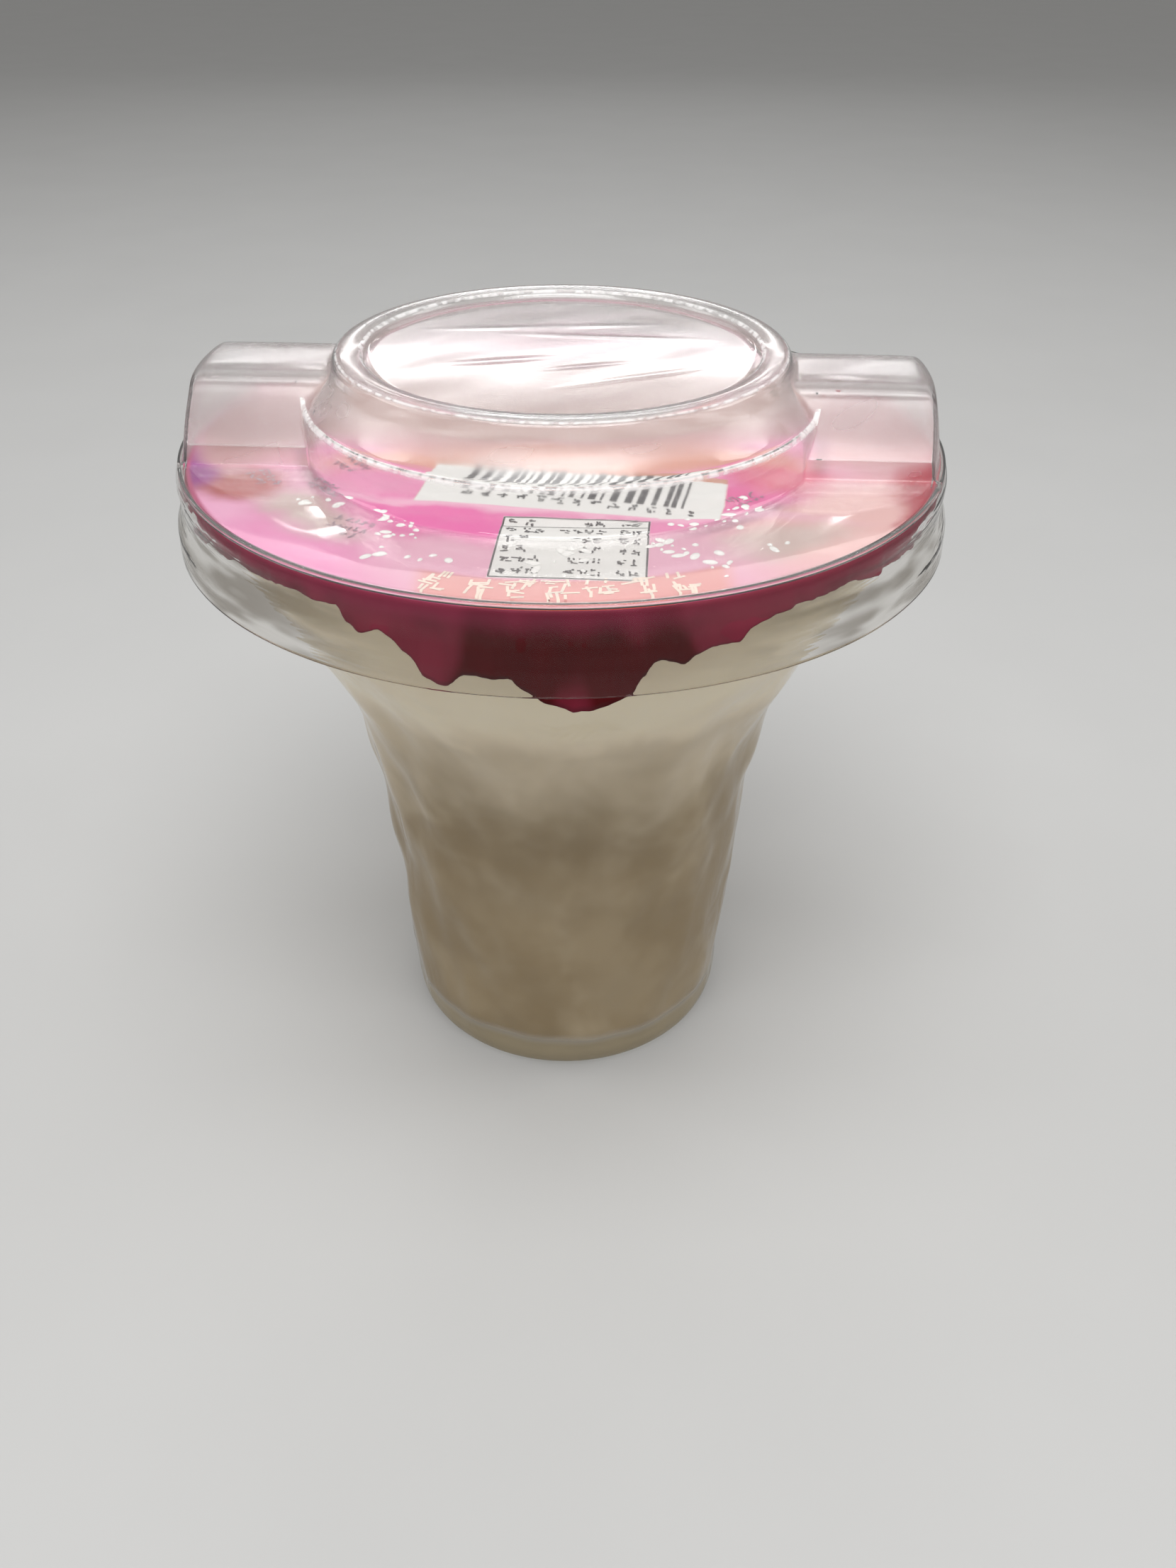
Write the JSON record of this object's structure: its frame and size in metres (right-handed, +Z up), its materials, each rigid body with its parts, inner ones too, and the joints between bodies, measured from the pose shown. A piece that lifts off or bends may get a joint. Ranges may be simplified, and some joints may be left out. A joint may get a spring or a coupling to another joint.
{
  "type": "lychee jelly cup",
  "caption": "Clear flared plastic cup of pale lychee jelly, with a pink printed sealing film and a clear domed push-fit overcap with a raised spoon bar",
  "frame": {"origin": "middle of the foot ring that the cup stands on, level with the table", "axes": "+Z up along the cup's axis; the spoon bar runs nearly along X; the film's pull tab hangs at the front, towards -Y"},
  "size_m": [0.0904, 0.0904, 0.0948],
  "materials": {
    "cup_plastic": "clear gloss plastic with a faint hammered relief",
    "jelly_filling": "cloudy pale jelly",
    "printed_film": "glossy printed film, lightly creased",
    "overcap_plastic": "clear gloss plastic"
  },
  "bodies": {
    "root": {"cup": "cup_plastic", "jelly": "jelly_filling", "sealing_film": "printed_film", "overcap": "overcap_plastic"}
  },
  "joints": []
}
